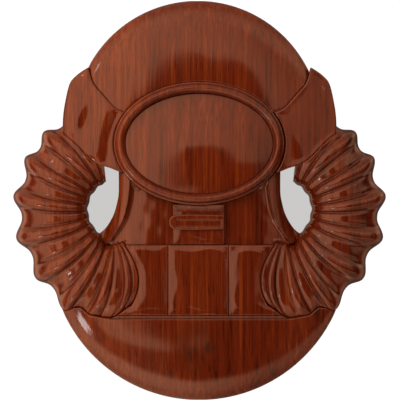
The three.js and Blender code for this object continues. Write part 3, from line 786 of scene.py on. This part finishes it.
def room_shapes(n, x, y, z):
    """The dark shapes in front of the plaque: a camera on its stand, a table and a shelf."""
    camera = n.between(n.oval(x, z, (0.009, 0.018), (0.067, 0.07)), 1.15, 0.85)
    floor_line = n.between(z, -0.35, -0.26)
    stand = n.product(n.inside(x, -0.06, 0.15, 0.02), n.between(z, 0.035, 0.015), floor_line)
    table = n.product(n.between(z, -0.1, -0.14), floor_line, n.between(x, -0.5, -0.4))
    shelf = n.product(n.between(x, 0.12, 0.17), n.between(z, -0.01, -0.06), floor_line)
    slope = n.math("ADD", n.math("MULTIPLY", x, -0.385), z)
    table_edge = n.product(
        n.between(slope, -0.112, -0.1), n.between(slope, -0.06, -0.085), n.inside(x, -0.2, -0.02, 0.02)
    )
    dark = n.largest(camera, stand, n.math("MULTIPLY", table, 0.85), n.math("MULTIPLY", shelf, 0.7))
    in_front = n.math("LESS_THAN", y, 0)
    return n.product(dark, n.opposite(n.math("MULTIPLY", table_edge, 0.9)), in_front)


def make_world():
    """A soft bright room. The camera itself sees plain white, and a painted shadow of grey straight behind
    the two holes, where the plaque would shade a wall behind it.
    """
    world = bpy.data.worlds.new("studio")
    bpy.context.scene.world = world
    n = Nodes(world)
    way = n.add("SeparateXYZ", {0: n.add("TexCoord").outputs["Generated"]})
    x, y, z = way.outputs[0], way.outputs[1], way.outputs[2]
    path = n.add("LightPath")

    level = n.product(room_level(n, x, y, z), n.opposite(room_shapes(n, x, y, z)))
    level = n.largest(level, DARKEST_LEVEL)
    to_the_side = n.between(n.math("ABSOLUTE", x), 0.74, 0.93, 0, 0.93)
    far_side = n.product(path.outputs["Is Glossy Ray"], to_the_side, n.between(y, 0.2, -0.1))
    level = n.product(level, n.opposite(far_side))
    mirrored = n.product(path.outputs["Is Glossy Ray"], n.between(y, 0.75, 0.4))
    colour = n.mix(mirrored, ROOM_COLOUR, MIRRORED_ROOM_COLOUR)
    surroundings = n.add("Background", {"Color": colour, "Strength": level})

    # A painted shadow: grey straight behind the two holes, for the plaque's shadow on a wall
    straight_behind = n.math("GREATER_THAN", y, 0.9)
    shaded = n.product(
        n.inside(x, -0.043, 0.043, 0.001), n.inside(z, -0.0135, 0.0125, 0.001), straight_behind
    )
    backdrop_and_shadow = n.mix(shaded, WHITE, SHADOW_GREY_BEHIND)
    plain = n.add("Background", {"Color": backdrop_and_shadow, "Strength": BACKDROP_LEVEL})
    seen = n.add("MixShader", {0: path.outputs["Is Camera Ray"], 1: surroundings, 2: plain})
    n.add("OutputWorld", {"Surface": seen})


def make_floor():
    """A pale floor well below the plaque, which the varnish does not mirror."""
    bpy.ops.mesh.primitive_plane_add(size=FLOOR_SIZE, location=FLOOR_PLACE)
    floor = bpy.context.active_object
    floor.name = "floor"
    floor.visible_glossy = False
    floor.data.materials.append(pale_floor("pale_floor"))


# The scene
scene = bpy.context.scene
scene.view_settings.view_transform = "Standard"
scene.view_settings.look = "None"
scene.cycles.use_denoising = True
make_camera()
make_world()
make_floor()
soft_light(
    "window_left", azimuth=-24.5, elevation=-16.8, distance=2.2, size=(0.3, 0.15), watts=1.35, roll=34
)
soft_light(
    "lamp_upper_left", azimuth=-44, elevation=28, distance=1, size=(0.5, 0.5), watts=3.4, mirrored=False
)
soft_light("lamp_left", azimuth=-34, elevation=20, distance=2.2, size=(0.13, 0.13), watts=0.28)
soft_light("lamp_right", azimuth=32, elevation=12, distance=2.4, size=(0.12, 0.12), watts=0.2)
soft_light(
    "lamp_behind", azimuth=155, elevation=35, distance=2.2, size=(0.9, 0.9), watts=14, mirrored=False
)

mahogany = varnished_wood(
    "mahogany_varnished",
    dark=(0.044, 0.0036, 0.001),
    middle=(0.124, 0.0125, 0.002),
    light=(0.22, 0.033, 0.005),
    streaked=True,
)
board_wood = varnished_wood(
    "mahogany_board_back",
    dark=(0.06, 0.012, 0.005),
    middle=(0.15, 0.035, 0.014),
    light=(0.24, 0.065, 0.027),
    coat=0.15,
)
beech = beech_wood("beech_dowel")
steel = plated_steel("zinc_plated_steel")
yellow_steel = plated_steel("yellow_zinc_screw", tint=(1, 0.72, 0.32))

relief("hood", pillow(HOOD), mahogany, ease=1.2)
for side in ("left", "right"):
    relief(f"flap_{side}", flap_height, mahogany, ease=1.4)
    relief(f"neck_strap_{side}", strap_height, mahogany, ease=0.6)
relief("mask_lens", lens_height, mahogany, ease=0.9)
relief("neck_panel", neck_height, mahogany, ease=0.5, step=1)
relief("centre_strap", slab(23.9, swell=0.4, reach=7), mahogany, ease=0.9)
relief("strap_tab", tab_height, mahogany, ease=1, step=0.6)
relief("strap_bar", slab(25.6, swell=0.1, reach=1), mahogany, ease=0.6)
relief("chest_panel_left", slab(26, swell=0.4, reach=6), mahogany, ease=1.1)
relief("chest_panel_centre", slab(26, swell=0.4, reach=6), mahogany, ease=1.1)
relief("chest_panel_right", slab(26, swell=0.5, reach=8), mahogany, ease=1.1)
relief("chest_bead", slab(27, swell=0.2, reach=1), mahogany, ease=1.1)
relief("lower_body", pillow(BODY), mahogany, ease=1.2)
hose(-1, mahogany)
hose(1, mahogany)
mask_ring(mahogany)
mask_skirt(mahogany)

for name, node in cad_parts.items():
    if "dowel" in name:
        finish = beech
    elif "screw" in name:
        finish = yellow_steel
    elif name.startswith("hanger"):
        finish = steel
    elif name == "backboard":
        finish = board_wood
    else:
        finish = mahogany
    for material_slot in node.material_slots:
        material_slot.material = finish
